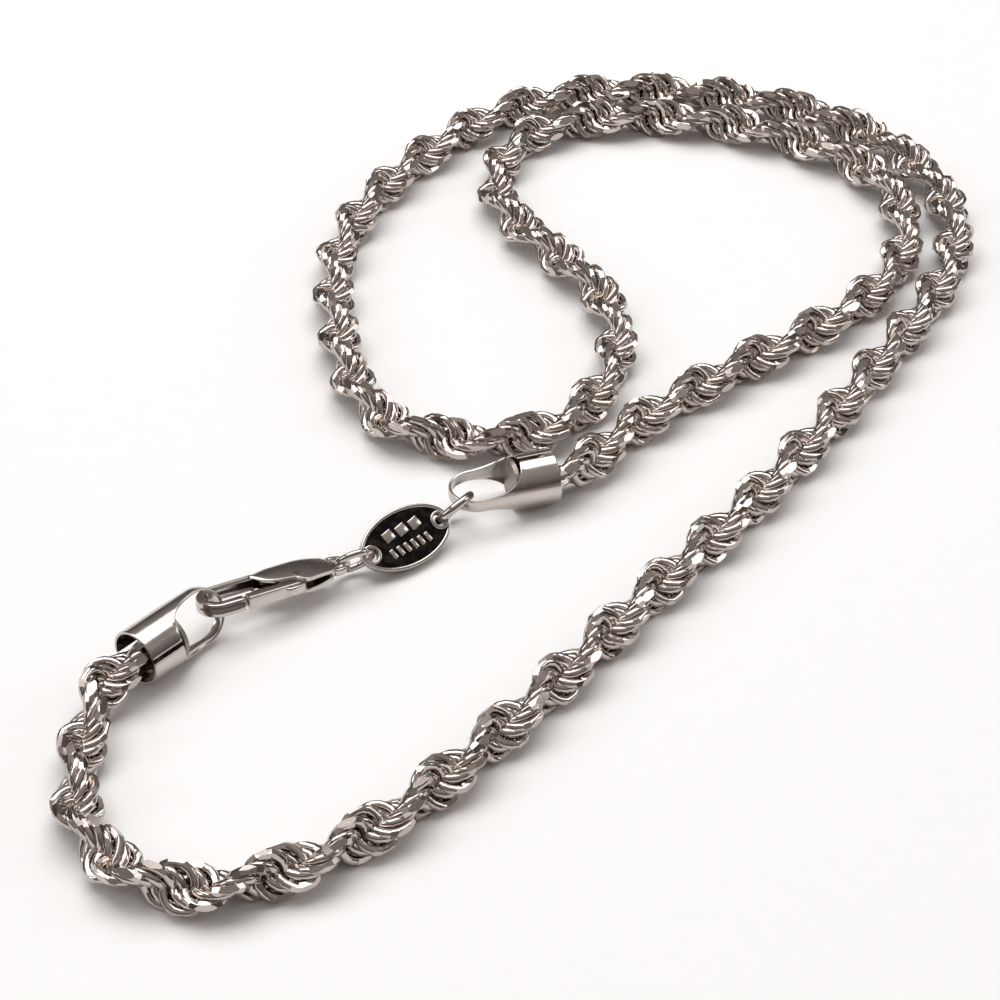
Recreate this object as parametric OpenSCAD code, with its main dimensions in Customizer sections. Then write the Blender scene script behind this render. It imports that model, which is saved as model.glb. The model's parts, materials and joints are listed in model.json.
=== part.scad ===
// Diamond-cut rope chain necklace, clasped and laid on a flat surface.
// Origin on the surface, under the middle of the necklace. +Z is up.

/* [Rope chain] */
// Width of the chain across its cut flats
chain_w = 5; // [4.2:0.1:6]
// Diameter of a ring's wire, thinned so that the rings pass each other freely
link_wire = 0.32; // [0.26:0.02:0.32]
// How far a ring's middle stands out from the chain's middle line
link_offset = 0.3; // [0.2:0.05:0.4]
// Angle that each ring turns past half a turn from the ring before
link_twist = 18.35; // [18:0.05:19]
// Number of sections that the rings are grouped in
section_count = 46; // [30:1:46]

/* [End caps] */
// Thickness of the cap's sheet
cap_wall = 0.3; // [0.25:0.05:0.45]
// Gap between the chain and the inside of the cap
cap_gap = 0.14; // [0.1:0.02:0.3]
// Length of the cap from its mouth to the tip of its eye
cap_len = 12; // [11:0.5:15]
// Length of the full shell behind the mouth
shell_len = 5; // [4.4:0.1:6]
// Height of the sheet at the tip of the eye
eye_h = 1.3; // [1:0.1:1.5]
// Width of the slit between the two shells
slit_w = 0.5; // [0.3:0.1:1]

/* [Jump rings] */
// Mean radius of the ring between cap and tag
ring_a_r = 2.4; // [2.2:0.05:2.8]
// Wire diameter of the ring between cap and tag
ring_a_wire = 0.95; // [0.7:0.05:1]
// Mean radius of the ring between tag and clasp
ring_b_r = 2.1; // [2:0.05:2.3]
// Wire diameter of the ring between tag and clasp
ring_b_wire = 0.8; // [0.6:0.05:0.85]

/* [Tag] */
// Length of the oval tag
tag_len = 11.8; // [11.6:0.1:13]
// Width of the oval tag
tag_w = 6.6; // [5:0.1:8]
// Thickness of the tag at its rim
tag_h = 0.8; // [0.6:0.1:1]
// Width of the raised rim
tag_rim = 0.45; // [0.3:0.05:0.7]
// Depth of the field inside the rim
tag_recess = 0.2; // [0.1:0.05:0.3]
// Distance between the tag's two holes
tag_holes = 9.4; // [9:0.1:9.6]
// Radius of the tag's holes
tag_hole_r = 0.75; // [0.65:0.05:0.8]

/* [Clasp] */
// Length from the rear eyelet's middle to the nose
clasp_len = 16.1; // [15:0.1:17]
// Width of the clasp across the spine and the lever
clasp_w = 4.6; // [4.4:0.1:5.4]
// Thickness of the clasp
clasp_h = 1.9; // [1.6:0.1:2.4]
// Thickness of the hook
hook_h = 1.5; // [1.3:0.1:1.6]
// Thickness of each cheek
cheek_h = 0.42; // [0.3:0.02:0.5]
// Radius of the rear eyelet's hole
eyelet_r = 1.1; // [1:0.05:1.2]
// Radius of the lever's pin
pin_r = 0.4; // [0.3:0.05:0.5]
// Thickness of the strip that the lever's spring is bent from
spring_t = 0.16; // [0.12:0.02:0.2]
// Width of the spring's strip
spring_h = 0.6; // [0.4:0.1:0.8]

/* [Hidden] */
$fn = 72;
free = 0.05;          // running gap between moving pieces
pin_fit = 0.02;       // gap between the pin and the cheeks' holes
lap = 0.01;           // overlap that makes a cut clean

// Rings. Each one reaches the cut flats with the middle of its wire, and the step leaves
// the rings of both strands evenly spread where they cross in the middle.
link_r = chain_w / 2 - link_offset;
rings_across = 4.5;   // steps between the two places where a ring meets the strands' crossing
link_step = 2 * sqrt(link_r * link_r - link_offset * link_offset) / rings_across;
first_link = link_r + 0.5;            // from the chain's end to the first ring's middle
chain_reach = min(chain_w / 2 / cos(180 / 8), link_r + link_offset + link_wire / 2);
cap_in_r = chain_reach + cap_gap;
cap_r = cap_in_r + cap_wall;
chain_z = chain_w / 2;
cap_z = cap_r;

// The lay is drawn for a 5 mm chain, and a wider one needs more room between its strands.
lay_w = 5;
spread = max(1, chain_w / lay_w);
lay_shift = [0, -0.3];                // puts the origin under the middle of the necklace
function laid(p, z) = [p[0] * spread + lay_shift[0], p[1] * spread + lay_shift[1], z];

// Pieces between the two ends of the chain, one after the other.
function ahead(turn, rise = 0) = [cos(rise) * cos(turn), cos(rise) * sin(turn), sin(rise)];
eye_x = cap_len - cap_r;              // from a cap's mouth to its eye's middle
cap_2_mouth = laid([-1.9, -11.8], cap_z);
cap_2_turn = 198.6;
cap_2_roll = 0;
eye_2 = cap_2_mouth + eye_x * ahead(cap_2_turn);
tag_turn = 221;
tag_roll = 38;
ring_roll = 90 - tag_roll;
ring_a_turn = 230;
ring_a_rise = -4;
ring_a_start = 1.5;                   // from the eye's middle to the ring's wire
ring_a_middle = eye_2 + (ring_a_start + ring_a_r) * ahead(ring_a_turn, ring_a_rise);
hole_a = ring_a_middle + ring_a_r * ahead(ring_a_turn, ring_a_rise);
hole_b = hole_a + tag_holes * ahead(tag_turn);
ring_b_turn = 205;
ring_b_tip = 7;                       // how much more upright the second ring stands
ring_b_middle = hole_b + ring_b_r * ahead(ring_b_turn);
eyelet = ring_b_middle + ring_b_r * ahead(ring_b_turn);
clasp_turn = 211;
clasp_rise = 4;
clasp_roll = 10;
arm_w = 1;                            // width of the hook's arm
seat_gap = 1.2;                       // from the inside of the nose to the eye's sheet
hook_seat = eyelet + (clasp_len - arm_w - seat_gap) * ahead(clasp_turn, clasp_rise);
cap_1_turn = 49.2;
cap_1_roll = 70;
eye_hold_turn = 4;                    // where the hook holds the eye, from the eye's tip
cap_1_mouth = hook_seat - eye_x * ahead(cap_1_turn)
    - turned(cap_in_r * ahead(eye_hold_turn), cap_1_turn, cap_1_roll);
function turned(p, turn, roll) = let (y = p[1] * cos(roll) - p[2] * sin(roll),
    z = p[1] * sin(roll) + p[2] * cos(roll)) [p[0] * cos(turn) - y * sin(turn),
    p[0] * sin(turn) + y * cos(turn), z];

// Chain near a cap: along the cap's axis away from its mouth, sideways from it, and the share
// of the way down from the cap's axis to the height of chain that lies on the surface.
NEAR_CAP_1 = [[2.6, 0.1, 0.05], [5.4, 0.6, 0.25], [8.6, 2.5, 0.65]];
NEAR_CAP_2 = [[2.4, 0.3, 0.05], [4.8, 1.4, 0.2], [7, 3.3, 0.5]];
function near(mouth, turn, p) = [mouth[0] - p[0] * cos(turn) + p[1] * sin(turn),
    mouth[1] - p[0] * sin(turn) - p[1] * cos(turn), mouth[2] + p[2] * (chain_z - mouth[2])];

// Middle line of the chain on the surface, from the first cap round to the second.
ROUTE = [
    [-48.9, -57], [-48.7, -62.5], [-46.5, -68.5], [-42.2, -73.2], [-36.6, -75.2], [-30.5, -74],
    [-24, -70.5], [-17, -64.5], [-9.5, -55.5], [-1.5, -45], [7, -33], [16, -21],
    [26, -6.5], [34.7, 8], [42, 20.5], [47.5, 32.5], [49.2, 43], [47.5, 53],
    [42.5, 62.5], [34.5, 69.5], [24, 74], [12, 76], [1, 74.5], [-9.5, 68.5],
    [-18, 58.5], [-25, 46], [-28, 33], [-27.3, 20], [-25, 8], [-20.5, -0.5],
    [-13, -4.2], [-5, -3.5], [1, 1], [5, 9], [6, 18], [4, 26.5],
    [-1, 35], [-6, 43], [-8.3, 51.5], [-6.5, 60], [-1.5, 66], [6, 68.7],
    [16, 68.7], [26.5, 65.5], [35.5, 59.8], [41.2, 52.5], [43, 44], [42, 35.5],
    [37.5, 26.5], [29.5, 18], [19, 9.5], [11, 2.3], [6.3, -2.8]
];
end_depth = 4.75;                     // how far the chain goes into a cap
PTS = concat([cap_1_mouth + end_depth * ahead(cap_1_turn), cap_1_mouth],
    [for (p = NEAR_CAP_1) near(cap_1_mouth, cap_1_turn, p)],
    [for (p = ROUTE) laid(p, chain_z)],
    [for (i = [len(NEAR_CAP_2) - 1 : -1 : 0]) near(cap_2_mouth, cap_2_turn, NEAR_CAP_2[i])],
    [cap_2_mouth, cap_2_mouth + end_depth * ahead(cap_2_turn)]);

// A smooth curve through the points, sampled finely and measured along its length.
samples_per_leg = 12;
last_leg = len(PTS) - 2;
function point(i) = i < 0 ? 2 * PTS[0] - PTS[1]
    : i > last_leg + 1 ? 2 * PTS[last_leg + 1] - PTS[last_leg] : PTS[i];
function blend(a, b, c, d, t) = 0.5 * (2 * b + (c - a) * t + (2 * a - 5 * b + 4 * c - d) * t * t
    + (3 * b - a - 3 * c + d) * t * t * t);
CURVE = [for (i = [0 : last_leg], j = [0 : samples_per_leg - 1])
    let (p = blend(point(i - 1), point(i), point(i + 1), point(i + 2), j / samples_per_leg))
    [p[0], p[1], max(p[2], chain_z)]];
RUN = [for (i = 0, s = 0; i < len(CURVE);
    s = s + (i < len(CURVE) - 1 ? norm(CURVE[i + 1] - CURVE[i]) : 0), i = i + 1) s];
X_TABLE = [for (i = [0 : len(CURVE) - 1]) [RUN[i], CURVE[i][0]]];
Y_TABLE = [for (i = [0 : len(CURVE) - 1]) [RUN[i], CURVE[i][1]]];
Z_TABLE = [for (i = [0 : len(CURVE) - 1]) [RUN[i], CURVE[i][2]]];
function at(s) = [lookup(s, X_TABLE), lookup(s, Y_TABLE), lookup(s, Z_TABLE)];

link_count = floor((RUN[len(RUN) - 1] - 2 * first_link) / link_step) + 1;
links_per_section = link_count / section_count;
function section_name(i) = str("chain_section_", i < 9 ? "0" : "", i + 1);

module along(s) {
    d = at(s + link_step) - at(s - link_step);
    translate(at(s)) rotate([0, acos(d[2] / norm(d)), atan2(d[1], d[0])]) children();
}

module torus(r, wire) {
    rotate_extrude($fn = 32) translate([r, 0]) circle(d = wire, $fn = 14);
}

// The faces that the diamond cutter leaves on the rope, one of them downwards.
module cut_faces() {
    rotate([0, 0, 180 / 8]) cylinder(d = chain_w / cos(180 / 8), h = 4 * link_r, center = true, $fn = 8);
}

module link(k) {
    along(first_link + k * link_step) intersection() {
        rotate([0, 0, -k * (180 + link_twist)]) translate([link_offset, 0, 0]) rotate([90, 0, 0])
            torus(link_r, link_wire);
        cut_faces();
    }
}

module chain_section(i) {
    color("silver") for (k = [0 : link_count - 1]) if (floor(k / links_per_section) == i) link(k);
}

// End cap, from its mouth at the origin to the eye's tip along +X. The eye's axis is Z.
module cap() {
    color("lightgray") {
        difference() {
            intersection() {
                rotate([0, 90, 0]) cylinder(r = cap_r, h = eye_x);
                rotate([90, 0, 0]) linear_extrude(2 * cap_r + 2, center = true)
                    polygon([[0, -cap_r], [shell_len, -cap_r], [shell_len + 1.2, -1.9],
                        [eye_x - 1.8, -eye_h / 2 - 0.3], [eye_x, -eye_h / 2], [eye_x, eye_h / 2],
                        [eye_x - 1.8, eye_h / 2 + 0.3], [shell_len + 1.2, 1.9],
                        [shell_len, cap_r], [0, cap_r]]);
            }
            translate([-1, 0, 0]) rotate([0, 90, 0]) cylinder(r = cap_in_r, h = eye_x + 2);
            translate([-1, -slit_w / 2, -cap_r - 1]) cube([eye_x + 2, slit_w, 2 * cap_r + 2]);
        }
        translate([eye_x, 0, 0]) rotate([0, 0, -90]) rotate_extrude(angle = 180)
            translate([cap_in_r, -eye_h / 2]) square([cap_wall, eye_h]);
    }
}

// Solder that holds the chain's last ring in the cap.
module solder() {
    color("gray") translate([end_depth - 0.3, 0, 0]) rotate([0, 90, 0])
        cylinder(r = cap_in_r - pin_fit, h = 0.5);
}

module at_cap_1() {
    translate(cap_1_mouth) rotate([cap_1_roll, 0, cap_1_turn]) children();
}

module at_cap_2() {
    translate(cap_2_mouth) rotate([cap_2_roll, 0, cap_2_turn]) children();
}

module jump_ring_a() {
    color("silver") translate(ring_a_middle) rotate([ring_roll, -ring_a_rise, ring_a_turn])
        torus(ring_a_r, ring_a_wire);
}

module jump_ring_b() {
    color("silver") translate(ring_b_middle) rotate([ring_roll + ring_b_tip, 0, ring_b_turn])
        torus(ring_b_r, ring_b_wire);
}

// Oval tag, middle at the origin, long side along X, field upwards.
tag_arc_r = (tag_len * tag_len / 4 + tag_w * tag_w / 4) / tag_w;  // the two arcs of its outline
tag_end_r = 1.5;                      // rounds the tag's ends over its holes
boss_wall = 0.3;                      // the raised ring round each hole

module tag_plan(inset) {
    intersection() {
        intersection_for(side = [-1, 1])
            translate([0, side * (tag_arc_r - tag_w / 2)]) circle(r = tag_arc_r - inset, $fn = 180);
        square([tag_len - 2 * inset, tag_w], center = true);
    }
    for (side = [-1, 1]) translate([side * (tag_len / 2 - tag_end_r), 0]) circle(r = tag_end_r - inset);
}

module oval_tag() {
    color("dimgray") translate((hole_a + hole_b) / 2) rotate([-tag_roll, 0, tag_turn]) difference() {
        linear_extrude(tag_h, center = true) tag_plan(0);
        translate([0, 0, tag_h / 2 - tag_recess]) linear_extrude(tag_h) difference() {
            tag_plan(tag_rim);
            for (side = [-1, 1]) translate([side * tag_holes / 2, 0]) circle(r = tag_hole_r + boss_wall);
        }
        for (side = [-1, 1]) translate([side * tag_holes / 2, 0, -tag_h])
            cylinder(r = tag_hole_r, h = 2 * tag_h);
    }
}

// Clasp: eyelet's middle at the origin, nose along +X, spine on +Y, lever on -Y.
nose_r = clasp_w / 2;
nose_x = clasp_len - nose_r;
cheek_end = 8;                        // where the two cheeks end and the hook begins
mouth_x = 11.6;                       // where the hook's tip begins
pivot_x = 4.8;
pivot_y = -0.5;
boss_r = 0.85;                        // radius of the lever round its pin
bar_w = 1.1;                          // width of the lever's bar
lever_reach = mouth_x - pivot_x - 2 * free;   // from the pin to the lever's end
eyelet_wall = 0.55;
eyelet_h = 0.8;
shoulder_x = 4.2;                     // where the body reaches its full width
shoulder_r = 1.2;
pocket_h = clasp_h - 2 * cheek_h;

module at_clasp() {
    translate(eyelet) rotate([clasp_roll, -clasp_rise, clasp_turn]) mirror([0, 1, 0]) children();
}

module clasp_outline() {
    circle(r = eyelet_r + eyelet_wall);
    polygon([[0, -eyelet_r - eyelet_wall], [shoulder_x - 0.5, 0.1 - nose_r],
        [shoulder_x - 0.5, nose_r - 0.1], [0, eyelet_r + eyelet_wall]]);
    for (side = [-1, 1]) translate([shoulder_x, side * (nose_r - shoulder_r)]) circle(r = shoulder_r);
    translate([shoulder_x, -nose_r]) square([nose_x - shoulder_x, clasp_w]);
    translate([nose_x, 0]) circle(r = nose_r);
}

module hook_window() {
    window_r = nose_r - arm_w;
    translate([cheek_end + window_r, 0]) circle(r = window_r);
    translate([nose_x, 0]) circle(r = window_r);
    translate([cheek_end + window_r, -window_r]) square([nose_x - cheek_end - window_r, 2 * window_r]);
}

module clasp_body() {
    color("silver") at_clasp() difference() {
        linear_extrude(clasp_h, center = true) difference() {
            clasp_outline();
            hook_window();
            translate([cheek_end, -nose_r - 1]) square([mouth_x - cheek_end, nose_r + 1]);
            circle(r = eyelet_r);
        }
        // pocket between the cheeks, open on the lever's side
        translate([eyelet_r + eyelet_wall, -nose_r - 1, -pocket_h / 2])
            cube([cheek_end + lap - eyelet_r - eyelet_wall, 2 * nose_r + 1 - arm_w, pocket_h]);
        // the eyelet is thinner than the body
        for (side = [-1, 1]) translate([-3, -3, side * (eyelet_h / 2 + 1) - 1])
            cube([3 + eyelet_r + 0.2, 6, 2]);
        // and so is the hook
        for (side = [-1, 1]) translate([cheek_end + 0.3, -nose_r - 1, side * (hook_h / 2 + 1) - 1])
            cube([clasp_len, 2 * nose_r + 2, 2]);
        translate([pivot_x, pivot_y, -clasp_h]) cylinder(r = pin_r + pin_fit, h = 2 * clasp_h);
    }
}

// The lever's end follows an arc round its pin, so that it clears the hook's tip as it opens.
function tip_x(y) = pivot_x + sqrt(lever_reach * lever_reach - (y - pivot_y) * (y - pivot_y));

module clasp_lever() {
    lever_h = pocket_h - 2 * free;
    color("silver") at_clasp() difference() {
        union() {
            translate([pivot_x, pivot_y, -lever_h / 2]) cylinder(r = boss_r, h = lever_h);
            linear_extrude(lever_h, center = true) polygon([[pivot_x - 0.6, -nose_r],
                [pivot_x - 0.6, pivot_y], [pivot_x + 0.6, pivot_y], [cheek_end, bar_w - nose_r],
                [tip_x(bar_w - nose_r), bar_w - nose_r], [tip_x(-nose_r), -nose_r]]);
            // thumb lug that stands out of the pocket
            translate([pivot_x + 0.2, -nose_r - 0.4, -lever_h / 2]) cube([1.6, 1, lever_h]);
        }
        translate([pivot_x, pivot_y, -clasp_h]) cylinder(r = pin_r + free, h = 2 * clasp_h);
    }
}

module lever_pin() {
    color("gray") at_clasp() translate([pivot_x, pivot_y, -clasp_h / 2]) cylinder(r = pin_r, h = clasp_h);
}

// Return spring: a steel strip bent in a U, one leg on the spine's wall, one on the lever.
module lever_spring() {
    outer_leg = nose_r - arm_w - spring_t / 2 - free;
    inner_leg = pivot_y + boss_r + spring_t / 2 + free;
    bend_r = (outer_leg - inner_leg) / 2;
    bend_x = 2.6;
    leg_len = 2.2;
    color("goldenrod") at_clasp() linear_extrude(spring_h, center = true) {
        translate([bend_x, (outer_leg + inner_leg) / 2]) difference() {
            circle(r = bend_r + spring_t / 2);
            circle(r = bend_r - spring_t / 2);
            translate([0, -2 * bend_r]) square([2 * bend_r, 4 * bend_r]);
        }
        for (leg = [outer_leg, inner_leg]) translate([bend_x - lap, leg - spring_t / 2])
            square([leg_len, spring_t]);
    }
}

for (i = [0 : section_count - 1]) chain_section(i);
at_cap_1() cap();  // end_cap_1
at_cap_2() cap();  // end_cap_2
at_cap_1() solder();  // solder_1
at_cap_2() solder();  // solder_2
jump_ring_a();
jump_ring_b();
oval_tag();
clasp_body();
clasp_lever();
lever_pin();
lever_spring();
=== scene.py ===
# Rope chain necklace of silver, clasped and laid out on a pale surface.
import bmesh
import bpy
import json
from math import acos, atan2, cos, pi, radians, sin
from mathutils import Matrix, Vector

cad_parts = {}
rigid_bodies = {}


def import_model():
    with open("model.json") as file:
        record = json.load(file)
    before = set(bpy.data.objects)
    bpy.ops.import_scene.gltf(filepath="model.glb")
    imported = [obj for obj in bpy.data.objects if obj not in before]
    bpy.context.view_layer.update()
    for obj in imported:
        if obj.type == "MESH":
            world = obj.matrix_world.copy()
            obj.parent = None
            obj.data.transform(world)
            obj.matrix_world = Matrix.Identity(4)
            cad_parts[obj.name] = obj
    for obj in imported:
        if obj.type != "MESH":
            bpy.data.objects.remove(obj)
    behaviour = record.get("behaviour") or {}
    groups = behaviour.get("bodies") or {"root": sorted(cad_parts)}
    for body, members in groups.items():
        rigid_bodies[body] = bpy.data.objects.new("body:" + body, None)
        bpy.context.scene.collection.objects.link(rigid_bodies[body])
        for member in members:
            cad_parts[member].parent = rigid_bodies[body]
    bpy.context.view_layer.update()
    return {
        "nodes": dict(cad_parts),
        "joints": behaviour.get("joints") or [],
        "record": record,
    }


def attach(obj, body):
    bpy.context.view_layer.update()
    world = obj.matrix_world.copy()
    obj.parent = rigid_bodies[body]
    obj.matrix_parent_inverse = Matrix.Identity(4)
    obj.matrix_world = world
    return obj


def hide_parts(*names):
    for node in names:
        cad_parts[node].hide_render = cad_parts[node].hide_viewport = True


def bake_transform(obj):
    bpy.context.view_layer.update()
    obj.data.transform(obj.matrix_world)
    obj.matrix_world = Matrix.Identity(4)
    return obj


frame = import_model()

# --- Rope chain ---------------------------------------------------------------------------
# A rope of round silver rings. Each ring is a bent and soldered wire that passes through the
# rings behind it, half a turn and a little more round the rope from its neighbour. A cutter
# then leaves bright flats all along the rope.
MM = 0.001


def silver_colour(code):
    channels = [int(code[i:i + 2], 16) / 255 for i in (1, 3, 5)]
    return [c / 12.92 if c <= 0.04045 else ((c + 0.055) / 1.055) ** 2.4 for c in channels] + [1.0]


def add(tree, kind, links=(), **settings):
    node = tree.nodes.new(kind)
    for name, value in settings.items():
        setattr(node, name, value)
    for socket, source in links:
        if isinstance(source, bpy.types.NodeSocket):
            tree.links.new(source, node.inputs[socket])
        else:
            node.inputs[socket].default_value = source
    return node


def finish_of(name):
    finish = bpy.data.materials.new(name)
    finish.use_nodes = True
    tree = finish.node_tree
    tree.nodes.clear()
    return finish, tree


# Rhodium-plated silver, drawn as wire and diamond cut: bright, with faint die lines and a
# little grime where the rings rub together. The patches are 4 to 5 mm across, and the die
# lines 0.4 mm, coarser than real ones so that they show.
chain_silver, tree = finish_of("rhodium_plated_silver_wire")
place = add(tree, "ShaderNodeTexCoord")
smudges = add(tree, "ShaderNodeTexNoise", [("Vector", place.outputs["Object"]), ("Scale", 220.0),
    ("Detail", 3.0)])
scratches = add(tree, "ShaderNodeTexNoise", [("Vector", place.outputs["Object"]), ("Scale", 2600.0),
    ("Detail", 2.0)])
tone = add(tree, "ShaderNodeMix", [("Factor", smudges.outputs["Fac"]),
    ("A", silver_colour("#B5ABA5")), ("B", silver_colour("#CFC6C0"))], data_type="RGBA")
gloss = add(tree, "ShaderNodeMapRange", [("Value", smudges.outputs["Fac"]), ("To Min", 0.07),
    ("To Max", 0.16)])
lines = add(tree, "ShaderNodeBump", [("Height", scratches.outputs["Fac"]), ("Strength", 0.06),
    ("Distance", 0.00002)])
shader = add(tree, "ShaderNodeBsdfPrincipled", [("Metallic", 1.0),
    ("Roughness", gloss.outputs["Result"]), ("Normal", lines.outputs["Normal"])])
tree.links.new(tone.outputs[2], shader.inputs["Base Color"])
add(tree, "ShaderNodeOutputMaterial", [("Surface", shader.outputs["BSDF"])])

# Sizes in mm. The step between rings comes from RING_RADIUS, as in the frame. The wire is bent
# to the smaller BENT_RADIUS, so that the cutter leaves only narrow flats.
ROPE_WIDTH = 5.0
CUT_FACES = 8
RING_OFFSET = 0.3
RING_RADIUS = ROPE_WIDTH / 2 - RING_OFFSET
BENT_RADIUS = 1.98
RING_WIRE = 1.04
RING_TWIST = 18.35
RINGS_ACROSS = 4.5
RING_STEP = 2 * (RING_RADIUS ** 2 - RING_OFFSET ** 2) ** 0.5 / RINGS_ACROSS
FIRST_RING = RING_RADIUS + 0.5

# The middle line of the rope: from inside the first cap, round to inside the second.
ROUTE = [
    (-41.647, -40.136, 3.447), (-44.751, -43.732, 3.447), (-46.374, -45.766, 3.399),
    (-47.826, -48.212, 3.21), (-48.478, -51.876, 2.831), (-48.9, -57.3, 2.5),
    (-48.7, -62.8, 2.5), (-46.5, -68.8, 2.5), (-42.2, -73.5, 2.5), (-36.6, -75.5, 2.5),
    (-30.5, -74.3, 2.5), (-24, -70.8, 2.5), (-17, -64.8, 2.5), (-9.5, -55.8, 2.5),
    (-1.5, -45.3, 2.5), (7, -33.3, 2.5), (16, -21.3, 2.5), (26, -6.8, 2.5), (34.7, 7.7, 2.5),
    (42, 20.2, 2.5), (47.5, 32.2, 2.5), (49.2, 42.7, 2.5), (47.5, 52.7, 2.5), (42.5, 62.2, 2.5),
    (34.5, 69.2, 2.5), (24, 73.7, 2.5), (12, 75.7, 2.5), (1, 74.2, 2.5), (-9.5, 68.2, 2.5),
    (-18, 58.2, 2.5), (-25, 45.7, 2.5), (-28, 32.7, 2.5), (-27.3, 19.7, 2.5), (-25, 7.7, 2.5),
    (-20.5, -0.8, 2.5), (-13, -4.5, 2.5), (-5, -3.8, 2.5), (1, 0.7, 2.5), (5, 8.7, 2.5),
    (6, 17.7, 2.5), (4, 26.2, 2.5), (-1, 34.7, 2.5), (-6, 42.7, 2.5), (-8.3, 51.2, 2.5),
    (-6.5, 59.7, 2.5), (-1.5, 65.7, 2.5), (6, 68.4, 2.5), (16, 68.4, 2.5), (26.5, 65.2, 2.5),
    (35.5, 59.5, 2.5), (41.2, 52.2, 2.5), (43, 43.7, 2.5), (42, 35.2, 2.5), (37.5, 26.2, 2.5),
    (29.5, 17.7, 2.5), (19, 9.2, 2.5), (11, 2, 2.5), (6.3, -3.1, 2.5), (3.682, -6.74, 2.8),
    (2.203, -9.242, 2.98), (0.279, -11.05, 3.07), (-1.9, -12.1, 3.1), (-6.402, -13.615, 3.1)
]


def smooth_route(points, per_leg=12):
    ends = [2 * points[0] - points[1]] + points + [2 * points[-1] - points[-2]]
    line = []
    for a, b, c, d in zip(ends, ends[1:], ends[2:], ends[3:]):
        for step in range(per_leg):
            t = step / per_leg
            spot = 0.5 * (2 * b + (c - a) * t + (2 * a - 5 * b + 4 * c - d) * t ** 2
                          + (3 * b - a - 3 * c + d) * t ** 3)
            spot.z = max(spot.z, ROPE_WIDTH / 2)
            line.append(spot)
    return line


rope_line = smooth_route([Vector(p) for p in ROUTE])
rope_run = [0.0]
for near, far in zip(rope_line, rope_line[1:]):
    rope_run.append(rope_run[-1] + (far - near).length)


def on_rope(distance):
    low, high = 0, len(rope_run) - 1
    while high - low > 1:
        middle = (low + high) // 2
        if rope_run[middle] <= distance:
            low = middle
        else:
            high = middle
    share = (distance - rope_run[low]) / (rope_run[high] - rope_run[low])
    return rope_line[low].lerp(rope_line[high], share)


ring_count = int((rope_run[-1] - 2 * FIRST_RING) / RING_STEP) + 1
sections = sorted(name for name in frame["nodes"] if name.startswith("chain_section_"))
rings_per_section = ring_count / len(sections)

# One ring before it is cut: the wire's section spun into a circle.
WIRE_SIDES = 6
RING_STEPS = 18
plain_ring = bmesh.new()
bmesh.ops.create_circle(plain_ring, segments=WIRE_SIDES, radius=RING_WIRE / 2,
    matrix=Matrix.Translation((BENT_RADIUS, 0, 0)) @ Matrix.Rotation(pi / 2, 4, "X")
    @ Matrix.Rotation(pi / WIRE_SIDES, 4, "Z"))
bmesh.ops.spin(plain_ring, geom=plain_ring.verts[:] + plain_ring.edges[:], cent=(0, 0, 0),
    axis=(0, 0, 1), angle=2 * pi, steps=RING_STEPS, use_merge=True)
bmesh.ops.recalc_face_normals(plain_ring, faces=plain_ring.faces)
for face in plain_ring.faces:
    face.smooth = True
ring_mesh = bpy.data.meshes.new("plain_ring")
plain_ring.to_mesh(ring_mesh)
plain_ring.free()


def cut_ring(number):
    """One ring, diamond cut where it stands out of the rope, with the rope along +Z."""
    ring = bmesh.new()
    ring.from_mesh(ring_mesh)
    ring.transform(Matrix.Rotation(radians(-number * (180 + RING_TWIST)), 4, "Z")
        @ Matrix.Translation((RING_OFFSET, 0, 0)) @ Matrix.Rotation(pi / 2, 4, "X"))
    for side in range(CUT_FACES):
        turn = side * 2 * pi / CUT_FACES
        across = Vector((cos(turn), sin(turn), 0))
        cut = bmesh.ops.bisect_plane(ring, geom=ring.verts[:] + ring.edges[:] + ring.faces[:],
            plane_co=across * ROPE_WIDTH / 2, plane_no=across, clear_outer=True)
        rim = [e for e in cut["geom_cut"] if isinstance(e, bmesh.types.BMEdge)]
        if rim:
            for edge in rim:
                edge.smooth = False
            bmesh.ops.holes_fill(ring, edges=rim, sides=0)
    return ring


# The sections that bend where the rope folds, with the two bodies that each one joins.
flexing = {}
for joint in frame["joints"]:
    for soft in joint.get("deforming_nodes") or []:
        flexing[soft["node"]] = (joint["parent"], joint["child"])
bodies = frame["record"]["behaviour"]["bodies"]
body_of = {node: body for body, nodes in bodies.items() for node in nodes}

for index, section in enumerate(sections):
    rings = bmesh.new()
    numbers = [k for k in range(ring_count) if int(k // rings_per_section) == index]
    for number in numbers:
        spot = FIRST_RING + number * RING_STEP
        ahead = (on_rope(spot + RING_STEP) - on_rope(spot - RING_STEP)).normalized()
        pose = (Matrix.Translation(on_rope(spot)) @ Matrix.Rotation(atan2(ahead.y, ahead.x), 4, "Z")
            @ Matrix.Rotation(acos(ahead.z), 4, "Y"))
        ring = cut_ring(number)
        ring.transform(Matrix.Scale(MM, 4) @ pose)
        mesh = bpy.data.meshes.new("ring")
        ring.to_mesh(mesh)
        ring.free()
        rings.from_mesh(mesh)
        bpy.data.meshes.remove(mesh)
    mesh = bpy.data.meshes.new(section.replace("chain_section", "rope"))
    for face in rings.faces:
        if len(face.verts) > 4:
            face.smooth = False
    rings.to_mesh(mesh)
    rings.free()
    rope = bpy.data.objects.new(mesh.name, mesh)
    bpy.context.scene.collection.objects.link(rope)
    mesh.materials.append(chain_silver)
    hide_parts(section)
    if section in flexing:
        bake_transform(rope)
    else:
        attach(rope, body_of[section])

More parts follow.
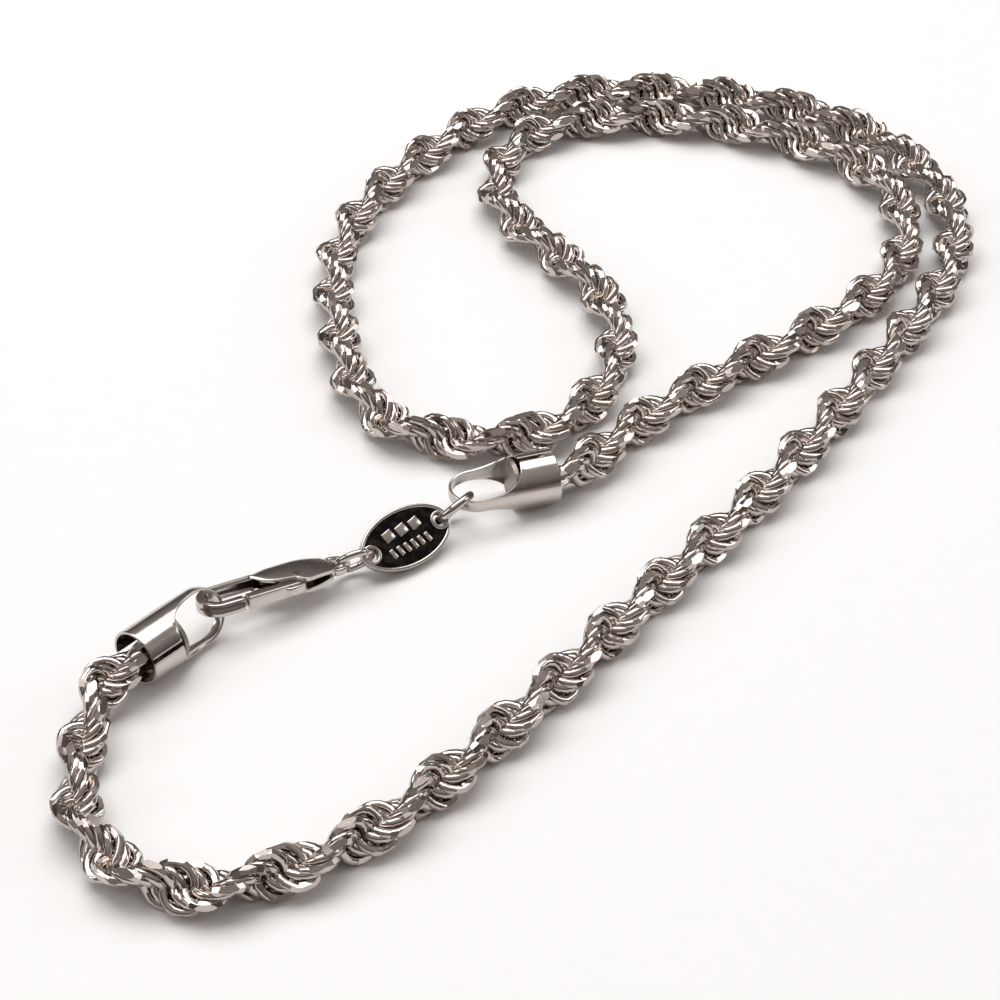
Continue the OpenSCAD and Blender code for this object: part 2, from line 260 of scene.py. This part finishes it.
# --- End caps -------------------------------------------------------------------------------
# Each cap is one strip of silver sheet: two half tubes that hold the rope's end, and between
# them a band that runs round as an eye. A scoop is sawn out of both sides to open the eye.
CAP_RADIUS = 3.1
CAP_SHEET = 0.3
CAP_LENGTH = 12.0
HALF_SLIT = 0.25
EYE_HALF_HEIGHT = 0.65
SCOOP_LENGTH = 4.8
SCOOP_ROUNDNESS = 0.62
cap_poses = {
    "end_cap_1": Matrix.Translation((-44.751, -43.732, 3.447)) @ Matrix.Rotation(radians(49.2), 4, "Z")
        @ Matrix.Rotation(radians(70), 4, "X"),
    "end_cap_2": Matrix.Translation((-1.9, -12.1, 3.1)) @ Matrix.Rotation(radians(198.6), 4, "Z"),
}

# Rhodium-plated silver sheet, rolled and polished by hand: mirror bright with a soft haze,
# and fine scratches that run along the strip. The haze is in patches of 4 mm; the scratches are
# a quarter of a millimetre apart, coarser than real ones so that they show.
sheet_silver, tree = finish_of("rhodium_plated_silver_sheet")
place = add(tree, "ShaderNodeTexCoord")
haze = add(tree, "ShaderNodeTexNoise", [("Vector", place.outputs["Object"]), ("Scale", 260.0),
    ("Detail", 4.0)])
stretch = add(tree, "ShaderNodeMapping", [("Vector", place.outputs["Object"]),
    ("Rotation", (0.0, 0.0, radians(35))), ("Scale", (300.0, 4000.0, 2500.0))])
scuffs = add(tree, "ShaderNodeTexNoise", [("Vector", stretch.outputs["Vector"]), ("Scale", 1.0)])
tone = add(tree, "ShaderNodeMix", [("Factor", haze.outputs["Fac"]),
    ("A", silver_colour("#B9B1AB")), ("B", silver_colour("#D2CBC5"))], data_type="RGBA")
gloss = add(tree, "ShaderNodeMapRange", [("Value", haze.outputs["Fac"]), ("To Min", 0.10),
    ("To Max", 0.24)])
relief = add(tree, "ShaderNodeBump", [("Height", scuffs.outputs["Fac"]), ("Strength", 0.08),
    ("Distance", 0.00002)])
shader = add(tree, "ShaderNodeBsdfPrincipled", [("Metallic", 1.0),
    ("Roughness", gloss.outputs["Result"]), ("Normal", relief.outputs["Normal"])])
tree.links.new(tone.outputs[2], shader.inputs["Base Color"])
add(tree, "ShaderNodeOutputMaterial", [("Surface", shader.outputs["BSDF"])])


def finished_piece(shape, name, pose, finish, node, body, smooth=True):
    """The piece in its place, riding on its body. If it stands for a node, that node is hidden."""
    shape.transform(Matrix.Scale(MM, 4) @ pose)
    for face in shape.faces:
        face.smooth = smooth
    mesh = bpy.data.meshes.new(name)
    shape.to_mesh(mesh)
    shape.free()
    mesh.materials.append(finish)
    piece = bpy.data.objects.new(name, mesh)
    bpy.context.scene.collection.objects.link(piece)
    if node:
        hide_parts(node)
    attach(piece, body)
    return piece


def soften(piece, width, segments=2, angle=35):
    bevel = piece.modifiers.new("softened_edges", "BEVEL")
    bevel.width = width * MM
    bevel.segments = segments
    bevel.limit_method = "ANGLE"
    bevel.angle_limit = radians(angle)


for name, pose in cap_poses.items():
    strip = bmesh.new()
    bmesh.ops.create_grid(strip, x_segments=128, y_segments=20, size=1)
    bend = CAP_RADIUS - CAP_SHEET / 2
    leg = CAP_LENGTH - CAP_RADIUS
    for vert in strip.verts:
        run = (vert.co.x + 1) / 2 * (2 * leg + pi * bend)
        along = min(run, leg, 2 * leg + pi * bend - run)
        turn = min(max((run - leg) / bend, 0), pi)
        back = min((leg - along) / SCOOP_LENGTH, 1)
        dip = (1 - back ** 2) ** SCOOP_ROUNDNESS
        edge = EYE_HALF_HEIGHT + (bend - EYE_HALF_HEIGHT) * (1 - dip)
        opening = max((bend ** 2 - edge ** 2) ** 0.5, HALF_SLIT)
        rise = vert.co.y * acos(min(opening / bend, 1))
        out = bend * cos(rise)
        vert.co = (along + out * sin(turn), out * cos(turn), bend * sin(rise))
    bmesh.ops.recalc_face_normals(strip, faces=strip.faces)
    number = name[-1]
    cap = finished_piece(strip, "cap_" + number, pose, sheet_silver, name, body_of[name])
    wall = cap.modifiers.new("sheet", "SOLIDIFY")
    wall.thickness = CAP_SHEET * MM
    wall.offset = 0
    wall.use_even_offset = True
    soften(cap, 0.06)

# --- Solder ---------------------------------------------------------------------------------
# A puddle of silver solder closes each cap behind the rope's last ring. It sets with a dull,
# slightly pitted skin, with pits of about 0.7 mm.
solder_grey, tree = finish_of("hard_silver_solder")
place = add(tree, "ShaderNodeTexCoord")
pits = add(tree, "ShaderNodeTexNoise", [("Vector", place.outputs["Object"]), ("Scale", 1500.0),
    ("Detail", 4.0)])
tone = add(tree, "ShaderNodeMix", [("Factor", pits.outputs["Fac"]),
    ("A", silver_colour("#6E665E")), ("B", silver_colour("#B5ADA4"))], data_type="RGBA")
relief = add(tree, "ShaderNodeBump", [("Height", pits.outputs["Fac"]), ("Strength", 0.5),
    ("Distance", 0.0001)])
shader = add(tree, "ShaderNodeBsdfPrincipled", [("Metallic", 1.0), ("Roughness", 0.45),
    ("Normal", relief.outputs["Normal"])])
tree.links.new(tone.outputs[2], shader.inputs["Base Color"])
add(tree, "ShaderNodeOutputMaterial", [("Surface", shader.outputs["BSDF"])])
for name in ("solder_1", "solder_2"):
    frame["nodes"][name].data.materials.clear()
    frame["nodes"][name].data.materials.append(solder_grey)

# --- Jump rings -----------------------------------------------------------------------------
# Two rings of round silver wire join the cap, the tag and the clasp. Each is sawn from a coil
# and bent shut, so a fine line shows where its ends meet.
JOINT_GAP = 0.05
WIRE_SHARE = 0.985


def jump_ring(name, radius, wire, pose, joint_at):
    """A ring of the middle radius and wire given, with its joint turned to joint_at."""
    ring = bmesh.new()
    gap = JOINT_GAP / radius
    bmesh.ops.create_circle(ring, cap_ends=True, segments=20, radius=wire / 2 * WIRE_SHARE,
        matrix=Matrix.Rotation(joint_at, 4, "Z") @ Matrix.Translation((radius, 0, 0))
        @ Matrix.Rotation(pi / 2, 4, "X"))
    profile = ring.faces[:]
    bmesh.ops.spin(ring, geom=profile, cent=(0, 0, 0), axis=(0, 0, 1), angle=2 * pi - gap, steps=64)
    bmesh.ops.remove_doubles(ring, verts=ring.verts, dist=0.0001)
    bmesh.ops.holes_fill(ring, edges=[e for e in ring.edges if e.is_boundary], sides=0)
    bmesh.ops.recalc_face_normals(ring, faces=ring.faces)
    piece = finished_piece(ring, name + "_wire", pose, chain_silver, name, body_of[name])
    soften(piece, 0.04, angle=50)


ring_a_pose = (Matrix.Translation((-12.844, -17.928, 2.828)) @ Matrix.Rotation(radians(230), 4, "Z")
    @ Matrix.Rotation(radians(4), 4, "Y") @ Matrix.Rotation(radians(52), 4, "X"))
ring_b_pose = (Matrix.Translation((-23.372, -26.808, 2.661)) @ Matrix.Rotation(radians(205), 4, "Z")
    @ Matrix.Rotation(radians(59), 4, "X"))
jump_ring("jump_ring_a", 2.4, 0.95, ring_a_pose, radians(200))
jump_ring("jump_ring_b", 2.1, 0.8, ring_b_pose, radians(120))

# --- Oval tag -------------------------------------------------------------------------------
# A struck silver oval with a raised rim, a raised boss round each of its two holes, and two
# rows of plain raised blocks on a field that is blackened and polished.
TAG_LENGTH = 11.8
TAG_WIDTH = 6.6
TAG_HOLES = 9.4
TAG_HOLE_RADIUS = 0.75
TAG_BACK = -0.38
FIELD_DEPTH = 0.56
RIM_WIDTH = 0.42
RIM_BACK = -0.3
RIM_DEPTH = 0.7
BOSS_RADIUS = 1.12
BOSS_DEPTH = 0.78
BLOCK_HEIGHT = 0.3
BLOCK_MIDDLE = 0.19
BLOCK_TURN = 12
tag_pose = (Matrix.Translation((-17.922, -22.837, 2.661)) @ Matrix.Rotation(radians(221), 4, "Z")
    @ Matrix.Rotation(radians(-38), 4, "X"))

# Blackened silver: sulphide rubbed back so that it stays dark and shiny in the hollows, with
# lighter patches of about 1 mm where the rubbing has gone through.
black_silver, tree = finish_of("blackened_silver")
place = add(tree, "ShaderNodeTexCoord")
rubbed = add(tree, "ShaderNodeTexNoise", [("Vector", place.outputs["Object"]), ("Scale", 900.0),
    ("Detail", 5.0)])
edge = add(tree, "ShaderNodeMapRange", [("Value", rubbed.outputs["Fac"]), ("From Min", 0.45),
    ("From Max", 0.75)])
tone = add(tree, "ShaderNodeMix", [("Factor", edge.outputs["Result"]),
    ("A", silver_colour("#1C1A1A")), ("B", silver_colour("#4A4542"))], data_type="RGBA")
relief = add(tree, "ShaderNodeBump", [("Height", rubbed.outputs["Fac"]), ("Strength", 0.25),
    ("Distance", 0.00005)])
shader = add(tree, "ShaderNodeBsdfPrincipled", [("Metallic", 0.9), ("Roughness", 0.17),
    ("Normal", relief.outputs["Normal"])])
tree.links.new(tone.outputs[2], shader.inputs["Base Color"])
add(tree, "ShaderNodeOutputMaterial", [("Surface", shader.outputs["BSDF"])])


def oval(shape, inset, height, segments=72):
    """A closed line of vertices round the tag, a little pointed at its two ends."""
    made = bmesh.ops.create_circle(shape, segments=segments, radius=1,
        matrix=Matrix.Translation((0, 0, height)))["verts"]
    for vert in made:
        turn = atan2(vert.co.y, vert.co.x)
        vert.co.x = cos(turn) * (TAG_LENGTH / 2 - inset)
        vert.co.y = sin(turn) * (TAG_WIDTH / 2 - inset) * (1 - 0.05 * cos(turn) ** 2)
    return [e for e in shape.edges if e.verts[0] in made and e.verts[1] in made]


def hole_line(shape, side, radius, height):
    made = bmesh.ops.create_circle(shape, segments=28, radius=radius,
        matrix=Matrix.Translation((side * TAG_HOLES / 2, 0, height)))["verts"]
    return [e for e in shape.edges if e.verts[0] in made and e.verts[1] in made]


def raised(shape, faces, height):
    """Gives the flat faces a wall of this height, upwards."""
    grown = bmesh.ops.extrude_face_region(shape, geom=faces)["geom"]
    top = [v for v in grown if isinstance(v, bmesh.types.BMVert)]
    bmesh.ops.translate(shape, verts=top, vec=(0, 0, height))
    bmesh.ops.recalc_face_normals(shape, faces=shape.faces)


plate = bmesh.new()
lines = oval(plate, 0.05, TAG_BACK)
lines += hole_line(plate, 1, TAG_HOLE_RADIUS, TAG_BACK)
lines += hole_line(plate, -1, TAG_HOLE_RADIUS, TAG_BACK)
filled = bmesh.ops.triangle_fill(plate, use_beauty=True, edges=lines)["geom"]
raised(plate, [f for f in filled if isinstance(f, bmesh.types.BMFace)], FIELD_DEPTH)
finished_piece(plate, "tag_plate", tag_pose, black_silver, "oval_tag", "tag",
    smooth=False)

brim = bmesh.new()
edges = oval(brim, 0, RIM_BACK) + oval(brim, RIM_WIDTH, RIM_BACK)
bmesh.ops.bridge_loops(brim, edges=edges)
raised(brim, brim.faces[:], RIM_DEPTH)
rim = finished_piece(brim, "tag_rim", tag_pose, sheet_silver, None, "tag")
soften(rim, 0.14, 3)

bosses = bmesh.new()
for side in (-1, 1):
    edges = hole_line(bosses, side, TAG_HOLE_RADIUS + 0.02, TAG_BACK)
    edges += hole_line(bosses, side, BOSS_RADIUS, TAG_BACK)
    raised(bosses, bmesh.ops.bridge_loops(bosses, edges=edges)["faces"], BOSS_DEPTH)
boss = finished_piece(bosses, "tag_bosses", tag_pose, sheet_silver, None, "tag")
soften(boss, 0.12, 3)

# Each row of blocks: its place across the tag, a block's length and width, and their places.
blocks = bmesh.new()
rows = [
    (-1.0, 1.35, 1.2, (-1.8, 0.0, 1.8)),
    (1.0, 0.55, 1.15, (-2.4, -1.45, -0.5, 0.45, 1.4, 2.35)),
]
for across, length, width, places in rows:
    for along in places:
        bmesh.ops.create_cube(blocks, size=1,
            matrix=Matrix.Translation((along, across, BLOCK_MIDDLE))
            @ Matrix.Rotation(radians(BLOCK_TURN), 4, "Z")
            @ Matrix.Diagonal((length, width, BLOCK_HEIGHT, 1)))
block = finished_piece(blocks, "tag_blocks", tag_pose, sheet_silver, None, "tag")
soften(block, 0.11, 3)

# --- Lobster clasp --------------------------------------------------------------------------
# Pressed silver in two halves: each has a domed cheek, a narrow spine and a hook, and they
# meet on a seam that shows along the hook. A flat eyelet at the back takes the jump ring.
CLASP_WIDTH = 4.6
CLASP_HEIGHT = 1.9
ARM = 1.0
CHEEK = 0.42
CHEEK_END = 8.0
HOOK_TIP = 11.6
NOSE_MIDDLE = 13.8
HOOK_HEIGHT = 1.5
clasp_pose = (Matrix.Translation((-25.276, -27.695, 2.661)) @ Matrix.Rotation(radians(211), 4, "Z")
    @ Matrix.Rotation(radians(-4), 4, "Y") @ Matrix.Rotation(radians(10), 4, "X")
    @ Matrix.Diagonal((1, -1, 1, 1)))


def grow(shape, faces, distance):
    """Pushes the bar's end faces along the clasp, and gives the new end faces."""
    grown = bmesh.ops.extrude_face_region(shape, geom=faces)["geom"]
    moved = [v for v in grown if isinstance(v, bmesh.types.BMVert)]
    bmesh.ops.translate(shape, verts=moved, vec=(distance, 0, 0))
    return [f for f in grown if isinstance(f, bmesh.types.BMFace)]


# The hook: a bar in two halves that runs forward on the spine's side, round the nose and back
# to its tip.
halves = bmesh.new()
bar_start = CHEEK_END - 0.6
bar_length = NOSE_MIDDLE - bar_start
for side in (-1, 1):
    middle = (bar_start, CLASP_WIDTH / 2 - ARM / 2, side * HOOK_HEIGHT / 4)
    made = bmesh.ops.create_grid(halves, x_segments=1, y_segments=1, size=0.5,
        matrix=Matrix.Translation(middle) @ Matrix.Rotation(pi / 2, 4, "Y")
        @ Matrix.Diagonal((HOOK_HEIGHT / 2, ARM, 1, 1)))["verts"]
    profile = list({f for v in made for f in v.link_faces})
    for distance in (1.5, 1.5, 1.5, bar_length - 4.5):
        profile = grow(halves, profile, distance)
    spun = bmesh.ops.spin(halves, geom=profile, cent=(NOSE_MIDDLE, 0, 0), axis=(0, 0, -1),
        angle=pi, steps=14)["geom_last"]
    profile = [f for f in spun if isinstance(f, bmesh.types.BMFace)]
    grow(halves, profile, HOOK_TIP - NOSE_MIDDLE)
bmesh.ops.remove_doubles(halves, verts=halves.verts, dist=0.00001)
bmesh.ops.recalc_face_normals(halves, faces=halves.faces)
hook = finished_piece(halves, "clasp_hook", clasp_pose, sheet_silver, "clasp_body", "clasp")
soften(hook, 0.2, 3, 50)

# The cheeks: two domed plates, cut back on the lever's side so that the bar can swing in.
CHEEK_START = 1.0
CHEEK_LENGTH = CHEEK_END + 0.2
CUT_BACK = 0.36
FRONT = 0.74
cheeks = bmesh.new()
for side in (-1, 1):
    made = bmesh.ops.create_grid(cheeks, x_segments=40, y_segments=12, size=1)["verts"]
    for vert in made:
        u = (vert.co.x + 1) / 2
        crown = 1 - vert.co.y ** 2
        along = CHEEK_START - 0.45 * crown * (1 - u) ** 6 + u * CHEEK_LENGTH
        swell = sin(pi * min(1, 0.16 + u * 0.62))
        far = 0.9 + 1.4 * min(1, swell * 1.06)
        full = -1.0 - 1.25 * swell
        clear = -1.1 + 0.24 * (along - 4.8)
        share = min(max((u - CUT_BACK) / 0.14, 0), 1) ** 2
        near = full + (clear - full) * share + max(u - FRONT, 0) ** 2 * 22
        across = near + (vert.co.y + 1) / 2 * (far - near)
        dome = 0.12 * crown * min(1, u * 4) - 0.25 * (1 - min(1, u * 3)) ** 2
        height = CLASP_HEIGHT / 2 - CHEEK / 2 - 0.12 + dome
        vert.co = (along, across, side * height)
bmesh.ops.recalc_face_normals(cheeks, faces=cheeks.faces)
cheek = finished_piece(cheeks, "clasp_cheeks", clasp_pose, sheet_silver, None, "clasp")
wall = cheek.modifiers.new("pressed_sheet", "SOLIDIFY")
wall.thickness = CHEEK * MM
wall.offset = 0
soften(cheek, 0.1, 3)

# The rear eyelet, spun from its section, and the spine that joins it to the hook.
EYELET_MIDDLE = 1.38
EYELET_WIDTH = 0.55
EYELET_HEIGHT = 0.8
back = bmesh.new()
bmesh.ops.create_grid(back, x_segments=1, y_segments=1, size=0.5,
    matrix=Matrix.Translation((EYELET_MIDDLE, 0, 0)) @ Matrix.Rotation(pi / 2, 4, "X")
    @ Matrix.Diagonal((EYELET_WIDTH, EYELET_HEIGHT, 1, 1)))
bmesh.ops.spin(back, geom=back.faces[:], cent=(0, 0, 0), axis=(0, 0, 1), angle=2 * pi, steps=40,
    use_merge=True)
bmesh.ops.remove_doubles(back, verts=back.verts, dist=0.0001)
inside = [f for f in back.faces if abs(f.normal.y) > 0.99
    and all(abs(v.co.y) < 1e-5 and v.co.x > 0 for v in f.verts)]
bmesh.ops.delete(back, geom=inside, context="FACES_ONLY")
spine_middle = (4.9, CLASP_WIDTH / 2 - ARM / 2 - 0.05, 0)
bmesh.ops.create_cube(back, size=1, matrix=Matrix.Translation(spine_middle)
    @ Matrix.Diagonal((7.0, ARM - 0.1, CLASP_HEIGHT - 2 * CHEEK, 1)))
bmesh.ops.recalc_face_normals(back, faces=back.faces)
spine = finished_piece(back, "clasp_spine", clasp_pose, sheet_silver, None, "clasp")
soften(spine, 0.14, 3)

# --- Lever, pin and spring ------------------------------------------------------------------
# The lever is cast silver on a riveted pin: a thin arm between the cheeks, and in front of them
# a bar as tall as the hook. Behind it a bent steel strip pushes it shut against the hook's tip.
LEVER_HEIGHT = 0.96
lever = bmesh.new()
outline = [(4.1, -1.5), (4.3, -0.1), (4.8, 0.32), (5.4, 0.1), (8.0, -1.15),
    (HOOK_TIP - 0.14, -1.25), (HOOK_TIP - 0.34, -2.25), (6.9, -2.3), (6.6, -2.65), (5.2, -2.65),
    (4.6, -2.3)]
corners = [lever.verts.new((x, y, -LEVER_HEIGHT / 2)) for x, y in outline]
lever.faces.new(corners)
raised(lever, lever.faces[:], LEVER_HEIGHT)
arm = finished_piece(lever, "lever_arm", clasp_pose, sheet_silver, "clasp_lever", "lever")
soften(arm, 0.12, 3)

BAR_LENGTH = 6.2
BAR_WIDTH = 1.05
BAR_HEIGHT = 1.44
bar = bmesh.new()
bmesh.ops.create_cube(bar, size=1, matrix=Matrix.Translation((8.15, -1.8, 0))
    @ Matrix.Diagonal((BAR_LENGTH, BAR_WIDTH, BAR_HEIGHT, 1)))
rear = [e for e in bar.edges if all(v.co.x < 6 for v in e.verts)
    and abs(e.verts[0].co.z - e.verts[1].co.z) > 1]
bmesh.ops.bevel(bar, geom=rear, offset=0.5, offset_type="OFFSET", segments=6, profile=0.5,
    affect="EDGES", material=-1)
lever_bar = finished_piece(bar, "lever_bar", clasp_pose, sheet_silver, None, "lever")
soften(lever_bar, 0.1, 3)
for name, finish in (("lever_pin", chain_silver), ("lever_spring", solder_grey)):
    frame["nodes"][name].data.materials.clear()
    frame["nodes"][name].data.materials.append(finish)

# --- Floor, light and camera ------------------------------------------------------------------
# The necklace lies on a sheet of white card, three soft boxes light it, and the camera looks
# down at it from in front.

# Pressed card: matt, almost white, with a very faint mottle of 2 to 3 mm.
floor_white, tree = finish_of("matt_white_card")
place = add(tree, "ShaderNodeTexCoord")
grain = add(tree, "ShaderNodeTexNoise", [("Vector", place.outputs["Object"]), ("Scale", 400.0)])
tone = add(tree, "ShaderNodeMix", [("Factor", grain.outputs["Fac"]),
    ("A", silver_colour("#F7F7F7")), ("B", silver_colour("#F9F9F9"))], data_type="RGBA")
shader = add(tree, "ShaderNodeBsdfPrincipled", [("Roughness", 0.6)])
tree.links.new(tone.outputs[2], shader.inputs["Base Color"])
add(tree, "ShaderNodeOutputMaterial", [("Surface", shader.outputs["BSDF"])])
card = bmesh.new()
bmesh.ops.create_grid(card, x_segments=1, y_segments=1, size=1.5)
mesh = bpy.data.meshes.new("floor")
card.to_mesh(mesh)
card.free()
floor = bpy.data.objects.new("floor", mesh)
bpy.context.scene.collection.objects.link(floor)
floor.data.materials.append(floor_white)

# A dim warm-grey room, darker towards the horizon, and large soft boxes that whiten the card.
room = bpy.data.worlds.new("studio")
bpy.context.scene.world = room
room.use_nodes = True
tree = room.node_tree
tree.nodes.clear()
place = add(tree, "ShaderNodeTexCoord")
height = add(tree, "ShaderNodeSeparateXYZ", [("Vector", place.outputs["Generated"])])
climb = add(tree, "ShaderNodeMapRange", [("Value", height.outputs["Z"]), ("From Min", 0.0),
    ("From Max", 0.9)])
shade = add(tree, "ShaderNodeMix", [("Factor", climb.outputs["Result"]),
    ("A", silver_colour("#35302E")), ("B", silver_colour("#ABA5A1"))], data_type="RGBA")
glow = add(tree, "ShaderNodeBackground", [("Color", shade.outputs[2]), ("Strength", 1.0)])
add(tree, "ShaderNodeOutputWorld", [("Surface", glow.outputs["Background"])])
bpy.context.scene.view_settings.view_transform = "Standard"


def softbox(name, spot, aim, width, depth, watts):
    light = bpy.data.lights.new(name, "AREA")
    light.shape = "RECTANGLE"
    light.size = width
    light.size_y = depth
    light.energy = watts
    lamp = bpy.data.objects.new(name, light)
    bpy.context.scene.collection.objects.link(lamp)
    lamp.location = spot
    lamp.rotation_euler = (Vector(aim) - Vector(spot)).to_track_quat("-Z", "Y").to_euler()
    return lamp


softbox("top_softbox", (-0.1, 0.35, 1.0), (0, 0, 0), 1.3, 0.9, 10.5)
softbox("left_softbox", (-0.9, -0.1, 0.6), (0, 0, 0), 0.35, 0.5, 1.6)
softbox("right_softbox", (0.9, 0.2, 0.5), (0, 0, 0), 0.3, 0.5, 1.1)

# A long lens, so that the far side of the necklace looks hardly smaller than the near side.
eye = bpy.data.cameras.new("camera")
eye.sensor_width = 36.0
eye.lens = 101.808
eye.clip_start = 0.01
camera = bpy.data.objects.new("camera", eye)
bpy.context.scene.collection.objects.link(camera)
camera.location = (-0.00773, -0.26271, 0.18988)
camera.rotation_euler = (radians(52.8), 0, 0)
bpy.context.scene.camera = camera
